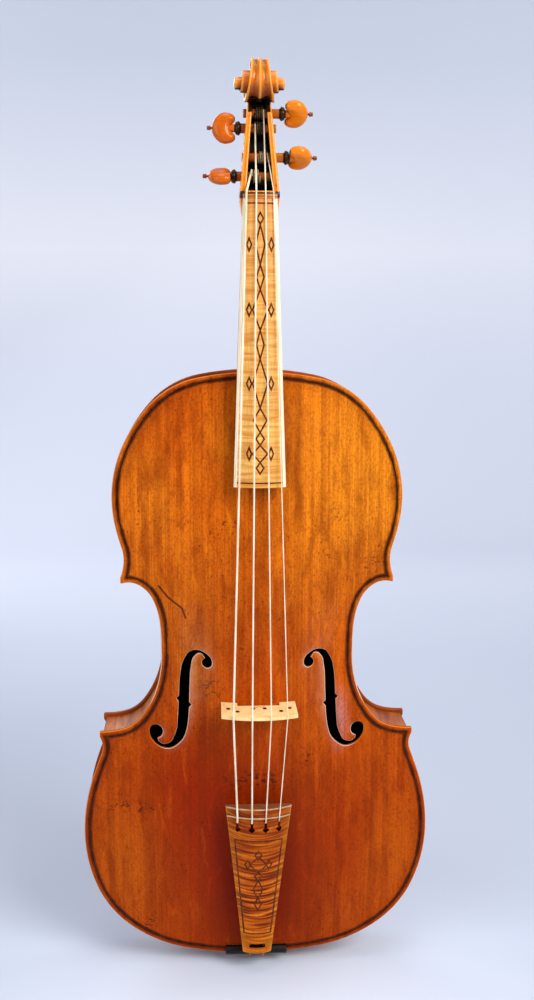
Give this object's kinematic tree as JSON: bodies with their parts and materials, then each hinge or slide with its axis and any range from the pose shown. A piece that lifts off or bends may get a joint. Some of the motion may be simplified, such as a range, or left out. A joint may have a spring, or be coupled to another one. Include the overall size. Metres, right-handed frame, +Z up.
{
  "type": "viola",
  "caption": "Bowed string instrument with arched belly and back, low bridge, gut strings wound on turning pegs, carved scroll and inlaid flamed fingerboard and tailpiece.",
  "frame": {"origin": "on the axis of the end button, level with the lower edge of the plates and midway through the ribs", "axes": "+X towards the treble side, +Z up the strings towards the scroll, and -Y out of the belly towards the player's bow; +Y out of the back"},
  "size_m": [0.278, 0.1123, 0.718],
  "materials": {
    "spruce_varnished": "glossy red-brown varnish over spruce",
    "back_maple": "glossy red-brown varnish over flamed maple",
    "rib_maple": "glossy red-brown varnish over flamed maple",
    "purfling": "dark inlaid strips",
    "inner_wood": "bare pale wood",
    "neck_maple": "worn red-brown varnish over maple",
    "nail_iron": "dark forged iron",
    "board_core": "plain wood",
    "flamed_veneer": "polished honey-coloured flamed maple",
    "ivory": "smooth cream bone-like trim",
    "inlay_lines": "thin dark lines",
    "nut_wood": "polished honey-coloured wood",
    "peg_wood": "glossy orange-brown turned wood",
    "gut": "smooth pale twisted gut",
    "bridge_maple": "bare pale maple",
    "saddle_ebony": "dark hard wood"
  },
  "bodies": {
    "viola": {"belly_bass_half": "spruce_varnished", "belly_treble_half": "spruce_varnished", "back_bass_half": "back_maple", "back_treble_half": "back_maple", "rib_upper_bass": "rib_maple", "rib_upper_treble": "rib_maple", "rib_waist_bass": "rib_maple", "rib_waist_treble": "rib_maple", "rib_lower_bass": "rib_maple", "rib_lower_treble": "rib_maple", "purfling_belly": "purfling", "purfling_back": "purfling", "top_block": "inner_wood", "end_block": "inner_wood", "corner_block_lower_bass": "inner_wood", "corner_block_lower_treble": "inner_wood", "corner_block_upper_bass": "inner_wood", "corner_block_upper_treble": "inner_wood", "linings_belly": "inner_wood", "linings_back": "inner_wood", "bass_bar": "inner_wood", "sound_post": "inner_wood", "neck_and_scroll": "neck_maple", "neck_nails": "nail_iron", "fingerboard_core": "board_core", "fingerboard_veneer": "flamed_veneer", "tailpiece": "flamed_veneer", "fingerboard_edge_bass": "ivory", "fingerboard_edge_treble": "ivory", "tailpiece_fret": "ivory", "tailpiece_end_strip": "ivory", "fingerboard_inlay": "inlay_lines", "tailpiece_inlay": "inlay_lines", "nut": "nut_wood", "end_button": "peg_wood", "string_c": "gut", "string_g": "gut", "string_d": "gut", "string_a": "gut", "tail_gut": "gut", "bridge": "bridge_maple", "saddle": "saddle_ebony"},
    "peg_c_turning": {"peg_c": "peg_wood", "peg_pip_c": "peg_wood", "winding_c": "gut"},
    "peg_a_turning": {"peg_a": "peg_wood", "peg_pip_a": "peg_wood", "winding_a": "gut"},
    "peg_g_turning": {"peg_g": "peg_wood", "peg_pip_g": "peg_wood", "winding_g": "gut"},
    "peg_d_turning": {"peg_d": "peg_wood", "peg_pip_d": "peg_wood", "winding_d": "gut"}
  },
  "joints": [
    {"name": "turn_peg_c", "type": "hinge", "parent": "viola", "child": "peg_c_turning", "pos_m": [0, -0.017, 0.6242], "axis": [-1, 0, 0], "continuous": true},
    {"name": "turn_peg_a", "type": "hinge", "parent": "viola", "child": "peg_a_turning", "pos_m": [0, -0.0144, 0.6383], "axis": [1, 0, 0], "continuous": true},
    {"name": "turn_peg_g", "type": "hinge", "parent": "viola", "child": "peg_g_turning", "pos_m": [0, -0.0106, 0.6596], "axis": [-1, 0, 0], "continuous": true},
    {"name": "turn_peg_d", "type": "hinge", "parent": "viola", "child": "peg_d_turning", "pos_m": [0, -0.009, 0.6706], "axis": [1, 0, 0], "continuous": true}
  ]
}
